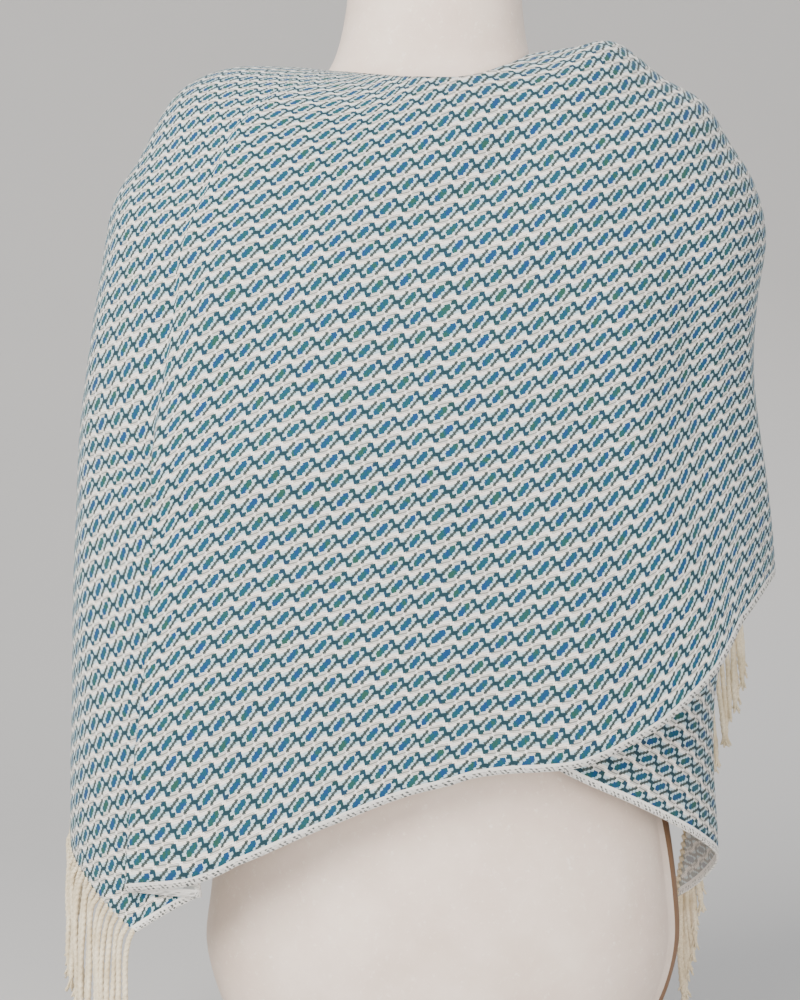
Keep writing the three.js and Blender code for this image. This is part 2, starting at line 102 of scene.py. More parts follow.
wrap = {
    "roundLeft": 2.6,      # how square the section is, 2 is an ellipse
    "roundRight": 2.15,
    "layerInset": 9,       # the inner turn lies this far inside the outer one
    "insetFrom": 165,      # where the back begins to go in to it
    "insetOver": 60,
    "neckClear": 0.7,      # ring of the inner turn's upper edge
    "clearFrom": 190,      # where the upper edge begins to go down to it
    "clearOver": 40,
    "rings": tableOf("atFront atRight atBack atLeft right left front back tuck", [
        (704, 731, 720, 716, 66, 78, 66, 63, 0),
        (686, 735, 710, 720, 92, 104, 82, 78, 0),
        (664, 739, 696, 720, 122, 145, 94, 91, 0),
        (640, 714, 672, 709, 156, 174, 104, 103, 0),
        (616, 697, 646, 691, 184, 191, 112, 112, 0),
        (590, 667, 615, 658, 203, 208, 119, 119, 0),
        (560, 640, 580, 626, 219, 227, 124, 123, 0),
        (525, 604, 540, 582, 227, 235, 128, 125, 0),
        (485, 558, 495, 530, 221, 243, 130, 125, 0),
        (440, 505, 448, 470, 219, 250, 130, 124, 0),
        (395, 440, 400, 410, 226, 253, 129, 123, 2),
        (345, 370, 350, 350, 234, 255, 128, 122, 10),
        (290, 300, 295, 290, 236, 256, 127, 122, 35),
        (235, 240, 240, 235, 236, 257, 126, 122, 38),
        (175, 175, 175, 175, 236, 257, 126, 122, 33),
        (100, 100, 100, 100, 236, 257, 126, 122, 31),
    ]),
    "outerHem": tableOf("angle height", [
        (-48, 163), (-33, 170), (-25, 184), (-11, 212), (2, 240), (20, 247), (35, 272), (47, 303),
        (57, 338), (71, 362), (90, 374), (104, 380), (122, 330), (145, 256), (180, 222),
        (212, 258), (238, 340), (260, 395),
    ]),
    "innerHem": tableOf("angle height", [
        (-100, 395), (-70, 422), (-45, 410), (-25, 372), (0, 306), (19, 248), (42, 216),
        (66, 189), (90, 167), (119, 133),
    ]),
    "outerEnd": tableOf("angle height", [
        (-47, 135), (-66, 162), (-90, 196), (-112, 300), (-130, 415), (-146, 530),
    ]),
    "outerEndTop": tableOf("angle ring", [
        (-44, 0), (-76, 0.1), (-97, 0.8), (-107, 2.4), (-117, 4.2), (-130, 5.8), (-146, 7.2),
    ]),
    "innerEnd": tableOf("angle height", [
        (119, 133), (114, 180), (109, 240), (103, 320), (105, 400), (110, 480), (119, 575),
    ]),
}
rings = wrap["rings"]


def onWrap(angle, ring, inner=0):
    sine, cosine = math.sin(math.radians(angle)), math.cos(math.radians(angle))
    power = 2 / (wrap["roundRight"] if sine > 0 else wrap["roundLeft"])
    half = column(rings, "right" if sine > 0 else "left", ring)
    if inner and sine > 0:
        half -= column(rings, "tuck", ring)
    sideHeight = column(rings, "atRight" if sine > 0 else "atLeft", ring)
    faceHeight = column(rings, "atFront" if cosine > 0 else "atBack", ring)
    depth = column(rings, "front" if cosine > 0 else "back", ring)
    return Vector((half * signedPower(sine, power), -depth * signedPower(cosine, power),
                   mix(faceHeight, sideHeight, sine * sine)))


def offWrap(angle, ring, out, inner=0):  # the same, moved out along the normal
    around = onWrap(angle + 0.2, ring, inner) - onWrap(angle - 0.2, ring, inner)
    above = max(0, ring - 0.02)
    down = onWrap(angle, above + 0.04, inner) - onWrap(angle, above, inner)
    return onWrap(angle, ring, inner) + down.cross(around).normalized() * out


def ringAt(angle, height):
    above, below = 0, len(rings) - 1
    for halving in range(18):
        ring = (above + below) / 2
        if onWrap(angle, ring).z > height:
            above = ring
        else:
            below = ring
    return (above + below) / 2


def hemHeight(table, angle):
    return column(table, "height", rowOf(table, "angle", angle))


def perDegree(angle, ring, inner=0):
    return (onWrap(angle + 0.5, ring, inner) - onWrap(angle - 0.5, ring, inner)).length


# ---- how the cloth lies: the pleat and the creases ----

pleat = {
    "radius": 2.2,         # of its two folds
    "depth": 42,           # how far its hidden layer runs back, at the hem
    "top": 500,            # it begins here as a soft bend
    "shut": 400,           # and is shut from here down
    "hem": 163,
    "angle": -47.5,        # where its fold is at the hem
    "lean": 6.5,           # and how far the fold leans to the front, going up
    "leanFrom": 150,
    "leanOver": 230,
    "hemDrop": 2,
    "liftFull": -26,       # the front layer lies over the hidden ones up to this angle
    "liftNone": 14,
    "rowsPart": 330,       # below this the rows don't meet across it
    "rowsMeet": 460,       # and above this they do
    "rowsSettle": 34,      # degrees past it in which the left end's own rows take over
}

# Troughs and ridges: a path of (distance round from the front's middle, height), how far
# the cloth moves out along it, and the half width of the bend.
creases = tableOf("path out width", [
    ([(-60, 588), (10, 612), (70, 650), (112, 674)], -5.0, 17),
    ([(-10, 560), (70, 588), (140, 640), (180, 660)], 2.4, 16),
    ([(116, 590), (128, 520), (136, 440), (160, 360), (186, 318)], 4.2, 20),
    ([(172, 610), (182, 520), (192, 430)], -3.6, 18),
    ([(240, 560), (246, 470), (262, 400)], 3.0, 15),
    ([(-178, 590), (-200, 520), (-208, 440)], -4.6, 13),
    ([(-150, 600), (-176, 500), (-190, 400), (-196, 250)], 2.6, 14),
    ([(-112, 610), (-128, 500), (-122, 380)], -1.6, 20),
    ([(-250, 640), (-262, 520), (-256, 380), (-246, 260)], 2.4, 17),
    ([(-130, 300), (-118, 240), (-110, 200)], -3.0, 18),
    ([(20, 420), (40, 330), (44, 260)], -1.8, 22),
    ([(70, 470), (84, 380), (96, 300)], 1.8, 22),
    ([(-50, 440), (-34, 330), (-20, 250)], 1.6, 24),
    ([(-330, 640), (-350, 520), (-372, 400)], -3.4, 18),
    ([(-380, 610), (-410, 500), (-430, 440)], 2.8, 16),
    ([(330, 690), (350, 600), (372, 480), (380, 390)], 3.2, 19),
    ([(385, 640), (420, 540), (436, 400), (440, 290)], -4.0, 18),
    ([(470, 660), (500, 520), (508, 380), (500, 260)], 3.0, 20),
    ([(540, 640), (566, 500), (580, 340)], -3.2, 22),
    ([(620, 660), (640, 520), (650, 380), (640, 270)], 3.4, 19),
    ([(700, 640), (712, 540), (722, 440), (730, 340)], -3.0, 17),
    ([(1330, 400), (1344, 320), (1352, 240)], 2.2, 15),
    ([(1390, 380), (1400, 300), (1410, 220)], -2.4, 14),
    ([(1480, 400), (1490, 300), (1496, 200)], 2.4, 16),
])
creaseReach = 90  # past this distance from its ends a crease is no longer felt


def creaseOut(around, height):
    total = 0.6 * noise.noise(Vector((around / 55, height / 80, 3.1)))  # a slight unevenness
    for crease in creases:
        path = crease["path"]
        nearest = min(path[0][0], path[-1][0]) - creaseReach
        farthest = max(path[0][0], path[-1][0]) + creaseReach
        if not nearest < around < farthest:
            continue
        best = None
        last = len(path) - 1
        for index in range(last):
            (a0, h0), (a1, h1) = path[index], path[index + 1]
            da, dh = a1 - a0, h1 - h0
            share = clamp(((around - a0) * da + (height - h0) * dh) / (da * da + dh * dh))
            distance = math.hypot(around - a0 - share * da, height - h0 - share * dh)
            if best is None or distance < best[0]:
                best = (distance, (index + share) / last)
        distance, along = best
        swell = math.sin(math.pi * clamp(0.08 + 0.84 * along)) ** 0.8
        total += crease["out"] * swell * math.exp(-(distance / crease["width"]) ** 2)
    return total


def pleatTurn(height):
    return math.pi * ease((pleat["top"] - height) / (pleat["top"] - pleat["shut"]))


def pleatRun(height):
    share = clamp((pleat["shut"] - height) / (pleat["shut"] - pleat["hem"]))
    return mix(3, pleat["depth"], share)


def pleatAngle(height):
    return pleat["angle"] + pleat["lean"] * ease((height - pleat["leanFrom"]) / pleat["leanOver"])


def pleatLength(height):
    return 2 * math.pi * pleat["radius"] + pleatRun(height)


def pleatPath(share, height):  # how far left and how far in, after a share of the pleat
    turn = max(0.02, pleatTurn(height))
    radius = math.pi * pleat["radius"] / turn
    first = turn * clamp(share * 3)
    second = turn * (1 - clamp(share * 3 - 2))
    flat = pleatRun(height) * clamp(share * 3 - 1)
    back = under = 0
    if share > 2 / 3:
        back = radius * (math.sin(turn) - math.sin(second))
        under = radius * (math.cos(second) - math.cos(turn))
    return (radius * math.sin(first) + flat * math.cos(turn) + back,
            radius * (1 - math.cos(first)) + flat * math.sin(turn) + under)


def pleatLift(angle, height):
    spread = (pleat["liftNone"] - angle) / (pleat["liftNone"] - pleat["liftFull"])
    return pleatPath(1, height)[1] * ease(spread)


# ---- where the weave's rows run ----

weave = {
    "alongRepeat": 18.9,   # from one oval to the next
    "upperSpacing": 13.3,  # between chains above the rows of the tables, up the cloth
    # Heights of every seventh chain, by distance round the middle ring from the front.
    "outerRows": tableOf("around r7 r14 r21 r28", [
        (-204, 256, 343, 424, 538), (-167, 274, 366, 455, 555), (-119, 292, 385, 478, 570),
        (-71, 309, 399, 492, 586), (0, 326, 418, 508, 601), (49, 338, 432, 523, 613),
        (92, 350, 447, 539, 625), (121, 363, 458, 550, 633), (152, 380, 472, 561, 642),
        (181, 399, 487, 572, 651), (216, 420, 503, 586, 662), (276, 442, 524, 601, 677),
        (326, 460, 540, 612, 680), (371, 420, 505, 588, 665), (441, 350, 445, 538, 628),
        (579, 316, 410, 504, 597), (736, 350, 440, 530, 620), (812, 425, 510, 590, 665),
        (864, 475, 552, 625, 690),
    ]),
    "innerRows": tableOf("around r7 r14 r21 r28", [
        (-350, 475, 552, 625, 690), (-263, 505, 580, 650, 705), (-198, 500, 585, 660, 712),
        (-131, 470, 565, 650, 710), (0, 412, 518, 620, 695), (80, 354, 458, 560, 655),
        (161, 313, 410, 507, 602), (230, 285, 381, 477, 572), (288, 262, 357, 452, 547),
        (362, 228, 323, 418, 513),
    ]),
    "leftRows": tableOf("around r7 r14 r21 r28", [
        (-475, 135, 238, 341, 443), (-320, 191, 294, 397, 499), (-167, 246, 349, 451, 554),
    ]),
    "leftHem": tableOf("angle height", [(-146, 36), (-90, 92), (-47, 135), (-35, 153)]),
}
ringSteps = 60
middleRing = 10


def makeChart(first, last, rows, hem, inner=0):  # where picks and ends lie on one turn
    count = int(math.ceil((last - first) / 2))  # a column every two degrees
    angles = [first + (last - first) * k / count for k in range(count + 1)]
    middle = min(range(count + 1), key=lambda k: abs(angles[k]))
    ringList = [(len(rings) - 1) * (1 - j / ringSteps) for j in range(ringSteps + 1)]
    grid = [[onWrap(angle, ring, inner) for ring in ringList] for angle in angles]
    near = min(range(ringSteps + 1), key=lambda j: abs(ringList[j] - middleRing))
    around = runAlong([points[near] for points in grid], middle)
    climbs, across = [], []
    for k, points in enumerate(grid):
        climb = [0.0]
        for j in range(ringSteps):
            climb.append(climb[-1] + (points[j + 1] - points[j]).length)
        place = rowOf(rows, "around", around[k])
        marks = [hemHeight(hem, angles[k])]
        marks += [column(rows, key, place) for key in ("r7", "r14", "r21", "r28")]
        marks = [climbAt(points, climb, mark) for mark in marks]
        across.append([chainAt(marks, height) for height in climb])
        climbs.append(climb)
    levels = list(range(-4, 46))  # from under the hem's chain to past the neckline's
    traced = []
    for k, points in enumerate(grid):
        traced.append([pointAt(points, across[k], level) for level in levels])
    runs = [runAlong([line[n] for line in traced], middle) for n in range(len(levels))]
    shift = [0.0]  # along the middle column the picks are square to the chains
    for n in range(len(levels) - 1):
        here, above = traced[middle][n], traced[middle][n + 1]
        row = (traced[min(count, middle + 1)][n] - traced[max(0, middle - 1)][n]).normalized()
        shift.append(shift[-1] + (above - here).dot(row))
    along = []
    for k in range(count + 1):
        line = []
        for value in across[k]:
            x = min(len(levels) - 1.001, max(0, value - levels[0]))
            n = int(x)
            line.append(mix(runs[n][k] + shift[n], runs[n + 1][k] + shift[n + 1], x - n))
        along.append(line)
    zero = column([{"at": value} for value in along[middle]], "at", ringSteps / 2)
    along = [[value - zero for value in line] for line in along]
    return {"first": first, "last": last, "count": count, "around": around, "along": along,
            "across": across}


def runAlong(points, middle):  # distances along a line of points, from its middle one
    run = [0.0] * len(points)
    for k in range(middle + 1, len(points)):
        run[k] = run[k - 1] + (points[k] - points[k - 1]).length
    for k in range(middle - 1, -1, -1):
        run[k] = run[k + 1] - (points[k + 1] - points[k]).length
    return run


def climbAt(points, climb, height):
    j = 0
    while j < ringSteps - 1 and points[j + 1].z < height:
        j += 1
    share = (height - points[j].z) / max(0.001, points[j + 1].z - points[j].z)
    return mix(climb[j], climb[j + 1], clamp(share) if j else min(1, share))


def chainAt(marks, climb):  # marks are the climbs of chains 0, 7, 14, 21 and 28
    if climb >= marks[4]:
        return 28 + (climb - marks[4]) / weave["upperSpacing"]
    step = 1
    while step < 4 and climb > marks[step]:
        step += 1
    return 7 * (step - 1 + (climb - marks[step - 1]) / max(20, marks[step] - marks[step - 1]))


def pointAt(points, chains, level):  # where a column crosses a chain, on past its ends too
    j = 0
    while j < ringSteps - 1 and chains[j + 1] < level:
        j += 1
    share = (level - chains[j]) / max(0.001, chains[j + 1] - chains[j])
    return points[j].lerp(points[j + 1], share)


def readChart(data, angle, ring, what):
    x = clamp((angle - data["first"]) / (data["last"] - data["first"])) * data["count"]
    k = min(data["count"] - 1, int(x))
    if what == "around":
        return mix(data["around"][k], data["around"][k + 1], x - k)
    y = (1 - clamp(ring / (len(rings) - 1))) * ringSteps
    j = min(ringSteps - 1, int(y))
    values = data[what]
    low = mix(values[k][j], values[k + 1][j], x - k)
    high = mix(values[k][j + 1], values[k + 1][j + 1], x - k)
    return mix(low, high, y - j)


outerChart = makeChart(-60, 262, weave["outerRows"], wrap["outerHem"])
leftChart = makeChart(-150, 0, weave["leftRows"], weave["leftHem"])
innerChart = makeChart(-102, 122, weave["innerRows"], wrap["innerHem"], 1)
print("charts of the weave made")

# ---- the stole ----

stole = {
    "name": "stole",
    "thickness": 1.8,
    "rows": 88,
    "columns": {"leftEnd": 46, "pleat": 24, "front": 96, "shoulder": 40, "back": 84,
                "innerFront": 96, "innerEnd": 32},
    "frontStart": 78,
    "rightEnd": 140,
    "backEnd": 260,
    "innerTurnover": 70,
    "middle": 1.0,         # the cloth's middle lies this far inside the wrap's surface
    "tuck": 6,             # the outer end's upper edge lies this much closer to the back,
    "tuckStart": -84,      # past this angle
    "innerRun": 1213,      # the inner turn's creases are placed from this distance round
    "turnedUnder": 0.7,    # past this share of the left end the upper edge is turned under
}
pleatHemAngle = pleatAngle(pleat["hem"])


def betweenEdges(first, last, low, high, along, up):
    corners = [first(0), last(0), first(1), last(1)]
    result = []
    for key in (0, 1):
        corner = mix(mix(corners[0][key], corners[1][key], along),
                     mix(corners[2][key], corners[3][key], along), up)
        result.append(mix(first(up)[key], last(up)[key], along)
                      + mix(low(along)[key], high(along)[key], up) - corner)
    return result


def layOut(angle, ring, out, data, inner=0):
    height = onWrap(angle, ring, inner).z
    around = readChart(data, angle, ring, "around")
    around += stole["innerRun"] if inner else 0
    return offWrap(angle, ring, out + creaseOut(around, height), inner)


def outerWeave(angle, ring):
    return (readChart(outerChart, angle, ring, "along"),
            readChart(outerChart, angle, ring, "across"))


def frontAt(along, up):
    hemAngle = mix(stole["frontStart"], pleatHemAngle, along)
    ring = mix(ringAtHem(hemAngle), 0, up)
    height = onWrap(hemAngle, ring).z
    angle = mix(stole["frontStart"], pleatAngle(height), along)
    point = layOut(angle, ring, pleatLift(angle, height) - stole["middle"], outerChart)
    return point, outerWeave(angle, ring)


hemRings = {}


def ringAtHem(angle):
    key = round(angle, 3)
    if key not in hemRings:
        hemRings[key] = ringAt(angle, hemHeight(wrap["outerHem"], angle))
    return hemRings[key]


def pastPleat(edge, height, ring):  # the angle at which the cloth comes out of the pleat
    return edge - pleatPath(1, height)[0] / perDegree(edge, ring)


def leftStart(up):
    ring = mix(ringAt(pleatHemAngle, pleat["hem"] - pleat["hemDrop"]), 0, up)
    height = onWrap(pleatHemAngle, ring).z
    edge = pleatAngle(height)
    return pastPleat(edge, height, ring), ring


def pleatEdge(ring):  # the weave where the cloth goes into the pleat, and the pleat's length
    height = onWrap(pleatHemAngle, ring).z
    edge = pleatAngle(height)
    return edge, height, outerWeave(edge, ring), pleatLength(height)


def pleatAt(along, up):
    hem = pleat["hem"] - pleat["hemDrop"] * along
    ring = mix(ringAt(pleatHemAngle, hem), 0, up)
    edge, height, (edgeAlong, edgeAcross), length = pleatEdge(ring)
    left, inward = pleatPath(along, height)
    angle = edge - left / perDegree(edge, ring)
    start = pastPleat(edge, height, ring)
    out = pleatPath(1, height)[1] - inward - stole["middle"]
    point = layOut(angle, ring, out, outerChart)
    joined = readChart(leftChart, start, ring, "across") + rowShift(start, ring, height)
    return point, (edgeAlong - length * along, mix(edgeAcross, joined, along))


def rowShift(start, ring, height):  # where the pleat is shut, the rows run on across it
    gap = readChart(outerChart, start, ring, "across") - readChart(leftChart, start, ring, "across")
    return gap * ease((height - pleat["rowsPart"]) / (pleat["rowsMeet"] - pleat["rowsPart"]))


def endEdge(table, up):
    row = up * (len(table) - 1)
    angle = column(table, "angle", row)
    return angle, ringAt(angle, column(table, "height", row))


def outerEndEdge(up):
    return endEdge(wrap["outerEnd"], up)


def leftTop(along):
    table = wrap["outerEndTop"]
    row = along * (len(table) - 1)
    shift = leftStart(1)[0] - table[0]["angle"]
    return (column(table, "angle", row) + shift * (1 - along), max(0, column(table, "ring", row)))


def leftLow(along):
    start, end = leftStart(0), outerEndEdge(0)
    return mix(start[0], end[0], along), mix(start[1], end[1], along)


def leftAt(along, up):
    angle, ring = betweenEdges(leftStart, outerEndEdge, leftLow, leftTop, along, up)
    ring = max(0, ring)
    edge, height, (edgeAlong, edgeAcross), length = pleatEdge(ring)
    start = pastPleat(edge, height, ring)
    gone = readChart(leftChart, angle, ring, "along") - readChart(leftChart, start, ring, "along")
    tucked = stole["tuck"] * ease((up - 0.88) / 0.12) * ease((stole["tuckStart"] - angle) / 20)
    point = layOut(angle, ring, -stole["middle"] - tucked, leftChart)
    across = readChart(leftChart, angle, ring, "across")
    across += rowShift(start, ring, height) * ease(1 - (start - angle) / pleat["rowsSettle"])
    return point, (edgeAlong - length + gone, across)


def shoulderAt(along, up):
    angle = mix(stole["frontStart"], stole["rightEnd"], along)
    ring = mix(ringAtHem(angle), 0, up)
    point = layOut(angle, ring, -stole["middle"], outerChart)
    return point, outerWeave(angle, ring)


def backAt(along, up):
    angle = mix(stole["rightEnd"], stole["backEnd"], along)
    top = wrap["neckClear"] * ease((angle - wrap["clearFrom"]) / wrap["clearOver"])
    ring = mix(ringAtHem(angle), top, up)
    inset = wrap["layerInset"] * ease((angle - wrap["insetFrom"]) / wrap["insetOver"])
    point = layOut(angle, ring, -inset - stole["middle"], outerChart)
    return point, outerWeave(angle, ring)


def innerWeave(angle, ring):
    joined = (readChart(outerChart, stole["backEnd"], ring, "along")
              - readChart(innerChart, stole["backEnd"] - 360, ring, "along"))
    return (joined + readChart(innerChart, angle, ring, "along"),
            readChart(innerChart, angle, ring, "across"))


def innerFrontAt(along, up):
    angle = mix(stole["backEnd"] - 360, stole["innerTurnover"], along)
    top = wrap["neckClear"] + 2 * ease((angle - 10) / 60)
    ring = mix(ringAt(angle, hemHeight(wrap["innerHem"], angle)), top, up)
    point = layOut(angle, ring, -wrap["layerInset"] - stole["middle"], innerChart, 1)
    return point, innerWeave(angle, ring)


def innerEndEdge(up):
    return endEdge(wrap["innerEnd"], up)


def innerEndAt(along, up):
    turnover = stole["innerTurnover"]
    neck = wrap["neckClear"] + 2

    def first(share):
        return turnover, mix(ringAt(turnover, hemHeight(wrap["innerHem"], turnover)), neck, share)

    def low(share):
        angle = mix(turnover, wrap["innerEnd"][0]["angle"], share)
        return angle, ringAt(angle, hemHeight(wrap["innerHem"], angle))

    def high(share):
        top = innerEndEdge(1)
        return mix(turnover, top[0], share), mix(neck, top[1], share)

    angle, ring = betweenEdges(first, innerEndEdge, low, high, along, up)
    point = layOut(angle, ring, -wrap["layerInset"] - stole["middle"], innerChart, 1)
    return point, innerWeave(angle, ring)


def stoleColumns():  # every column of the cloth, from the outer end to the inner one
    makers = {"leftEnd": (leftAt, True), "pleat": (pleatAt, True), "front": (frontAt, True),
              "shoulder": (shoulderAt, False), "back": (backAt, False),
              "innerFront": (innerFrontAt, False), "innerEnd": (innerEndAt, False)}
    result = []
    for name, (maker, turned) in makers.items():
        count = stole["columns"][name]
        for index in range(0 if not result else 1, count + 1):
            share = index / count
            result.append((maker, 1 - share if turned else share))
    return result


def makeStole():
    columns = stoleColumns()
    wide, tall = len(columns) - 1, stole["rows"]
    bm = bmesh.new()
    bmesh.ops.create_grid(bm, x_segments=wide, y_segments=tall, size=1)
    bm.verts.ensure_lookup_table()
    places = {}
    for vert in bm.verts:
        places[(round((vert.co.x + 1) / 2 * wide), round((vert.co.y + 1) / 2 * tall))] = vert
    weaveUv = bm.loops.layers.uv.new("weave")
    edgeUv = bm.loops.layers.uv.new("selvedge")
    run, points = {}, {}
    for i, (maker, along) in enumerate(columns):
        for j in range(tall + 1):
            points[i, j], run[i, j] = maker(along, j / tall)
    edge = {}
    openTop = stole["columns"]["leftEnd"] * stole["turnedUnder"]
    for i in range(wide + 1):
        up = [0.0]
        for j in range(tall):
            up.append(up[-1] + (points[i, j + 1] - points[i, j]).length)
        a, b = max(0, i - 1), min(wide, i + 1)
        for low, line in ((True, 0), (False, tall)):
            tangent = (points[b, line] - points[a, line]).normalized()
            upward = (points[i, 1] - points[i, 0]) if low else (points[i, tall - 1] - points[i, tall])
            square = max(0.3, upward.normalized().cross(tangent).length)
            for j in range(tall + 1):
                away = (up[j] if low else up[-1] - up[j]) * square
                if low or (i < openTop and away < edge[i, j]):
                    edge[i, j] = away
    owner = {}
    for (i, j), vert in places.items():
        vert.co = points[i, j] * mm
        owner[vert] = (i, j)
    for face in bm.faces:
        face.smooth = True
        for loop in face.loops:
            i, j = owner[loop.vert]
            along, across = run[i, j]
            loop[weaveUv].uv = (along / weave["alongRepeat"], across)
            loop[edgeUv].uv = (along * mm, edge[i, j] * mm)
    cloth = objectFrom(bm, stole["name"])
    solid = cloth.modifiers.new("thickness", "SOLIDIFY")
    solid.thickness = stole["thickness"] * mm
    solid.offset = 0
    solid.material_offset = 1
    solid.material_offset_rim = 0
    return cloth


cloth = makeStole()
print("stole draped:", len(cloth.data.vertices), "points")

# ---- fringe ----

fringe = {
    "strands": 54,
    "radius": 1.9,
    "length": 88,          # from the cloth's end to the tip
    "spread": 12,          # how much the lengths differ
    "reach": 9,            # how far a strand goes on past the cloth before it hangs
    "twist": 9.5,          # length of one turn of the two plies
    "knot": 0.86,          # where along it the knot sits
    "steps": 60,
    "sides": 8,
    "tails": 7,
    "tail": 11,
    "leanIn": 0.19,
    "leanOut": 0.1,
    "under": 397,          # over this height the inner fringe hangs under the outer turn
    "rootIn": 1.5,         # a strand starts this far inside the cloth's end,
    "rootOut": 2.5,        # and runs straight this far past it
    "reachSpread": 3,
    "drift": 4,            # how far tips hang to one side or the other
    "wave": 0.8,
    "settle": 6,           # how quickly a strand turns down
}
sideways = Vector((0.31, 0.95, 0.02))  # no strand runs this way


def makeCordTemplate(steps, turns, lobes):  # a unit length of two plies twisted together
    bm = bmesh.new()
    ring = bmesh.ops.create_circle(bm, segments=fringe["sides"], radius=1, cap_ends=False)
    for vert in ring["verts"]:
        around = math.atan2(vert.co.y, vert.co.x)
        vert.co *= 1 + lobes * (math.cos(2 * around) - 0.3)
    geom = list(bm.verts) + list(bm.edges)
    bmesh.ops.spin(bm, geom=geom, cent=(0, 0, 0), axis=(0, 0, 1), dvec=(0, 0, 1 / steps),
                   angle=turns * 2 * math.pi, steps=steps, use_merge=False, use_duplicate=False)
    bmesh.ops.holes_fill(bm, edges=bm.edges, sides=0)
    bmesh.ops.recalc_face_normals(bm, faces=bm.faces)
    mesh = bpy.data.meshes.new("cordTemplate")
    bm.to_mesh(mesh)
    bm.free()
    return mesh


def layCord(bm, template, path, radiusAt):
    before = len(bm.verts)
    bm.from_mesh(template)
    bm.verts.ensure_lookup_table()
    last = len(path) - 1
    points = [{"x": p.x, "y": p.y, "z": p.z} for p in path]

    def at(share):
        return Vector([column(points, key, share * last) for key in "xyz"])

    for vert in bm.verts[before:]:
        share = clamp(vert.co.z)
        here = at(share)
        tangent = (at(min(1, share + 0.01)) - at(max(0, share - 0.01))).normalized()
        side = sideways.cross(tangent).normalized()
        over = tangent.cross(side)
        radius = radiusAt(share)
        vert.co = (here + (side * vert.co.x + over * vert.co.y) * radius) * mm


def cordRadius(share):
    knot = math.exp(-((share - fringe["knot"]) / 0.022) ** 2)
    groove = math.exp(-((share - fringe["knot"] - 0.004) / 0.006) ** 2)
    tip = 1 - 0.35 * ease((share - 0.93) / 0.07)
    root = mix(0.55, 1, ease(share / 0.04))
    return fringe["radius"] * (root * tip + 0.3 * knot - 0.2 * groove)


def strandLay(inner, height, index):  # how far outside the wrap a strand hangs, and its lean
    if not inner:
        return -1.0 + 1.6 * (index % 2), 0.0
    if height > fringe["under"]:
        return -wrap["layerInset"] - 1, -fringe["leanIn"]
    return 3 - wrap["layerInset"], fringe["leanOut"]


def makeFringe(name, maker, edgeAt, way, inner):
    cord = makeCordTemplate(fringe["steps"], (fringe["length"] + 8) / fringe["twist"], 0.12)
    tail = makeCordTemplate(4, 0.4, 0.1)
    bm = bmesh.new()
    for index in range(fringe["strands"]):
        up = (index + 0.5) / fringe["strands"]
        tip = maker(1, up)[0]
        edgeStep = maker(1, clamp(up + 0.01))[0] - maker(1, clamp(up - 0.01))[0]
        outStep = tip - maker(0.98, up)[0]
        outward = edgeStep.cross(outStep).cross(edgeStep).normalized()
        angle0, ring0 = edgeAt(up)
        length = fringe["length"] + fringe["spread"] * (chance(index, 1) - 0.5)
        depth, lean = strandLay(inner, tip.z, index)
        reach = fringe["reach"] + fringe["reachSpread"] * (chance(index, 2) - 0.5)
        drift = fringe["drift"] * (chance(index, 3) - 0.5)
        path = [tip - outward * fringe["rootIn"], tip + outward * fringe["rootOut"]]
        for step in range(1, 10):
            share = step / 9
            settled = 1 - math.exp(-share * fringe["settle"])
            angle = angle0 + (way * reach * settled + drift * share * share) / perDegree(angle0, ring0)
            height = tip.z - length * share + fringe["reach"] * settled / 2
            out = depth + lean * length * share + fringe["wave"] * math.sin(7 * share + index)
            lying = offWrap(angle, ringAt(angle, height), out, inner)
            plumb = offWrap(angle, ring0, out, inner)
            wider = plumb if plumb.xy.length > lying.xy.length else lying
            path.append(Vector((wider.x, wider.y, height)))
        layCord(bm, cord, path, cordRadius)
        end, before = path[-1], path[-2]
        down = (end - before).normalized()
        side = sideways.cross(down).normalized()
        for k in range(fringe["tails"]):
            turn = 2 * math.pi * (k + chance(index, 5 + k) * 0.6) / fringe["tails"]
            apart = 0.1 + 0.3 * chance(index, 11 + k)
            aside = (side * math.cos(turn) + down.cross(side) * math.sin(turn)) * apart
            size = fringe["tail"] * (0.75 + 0.4 * chance(index, 17 + k))
            start = mix(before, end, 0.35)
            bend = start + (down + aside * 0.6).normalized() * size * 0.5
            tailPath = [start, bend, bend + (down + aside * 1.5).normalized() * size * 0.5]
            layCord(bm, tail, tailPath, lambda share: mix(1.0, 0.62, share))
    for face in bm.faces:
        face.smooth = True
    return objectFrom(bm, name)


outerFringe = makeFringe("outerFringe", leftAt, outerEndEdge, -1, 0)
innerFringe = makeFringe("innerFringe", innerEndAt, innerEndEdge, 1, 1)
print("fringe laid:", len(outerFringe.data.polygons) + len(innerFringe.data.polygons), "faces")

# ---- dress form ----

form = {
    "name": "dressForm",
    "around": 160,
    "upward": 150,
    "square": 0.93,
    "strip": {"front": -24, "back": 10, "bottom": 20, "top": 330, "out": 5.5, "edge": 5},
    "sections": tableOf("height half front back middle", [
        (0, 104, 66, 68, -1), (6, 112, 72, 74, -1), (26, 128, 84, 87, -1), (54, 142, 94, 98, -1),
        (84, 155, 103, 106, -1), (115, 162, 107, 110, -1), (147, 160, 106, 109, 0),
        (195, 154, 101, 105, 0), (250, 143, 95, 100, 0), (320, 131, 90, 94, 0),
        (390, 135, 96, 94, 0), (450, 147, 107, 98, 0), (510, 158, 111, 101, -1),
        (560, 166, 104, 100, -2), (605, 171, 92, 94, -3), (640, 168, 79, 84, -4),
        (664, 152, 68, 73, -5), (682, 126, 61, 64, -5), (698, 98, 57, 58, -5),
        (712, 79, 55, 55, -5), (730, 68, 53, 53, -5), (760, 62, 52, 52, -4),
        (800, 59, 51, 51, -3), (808, 57, 49, 49, -3),
    ]),
}


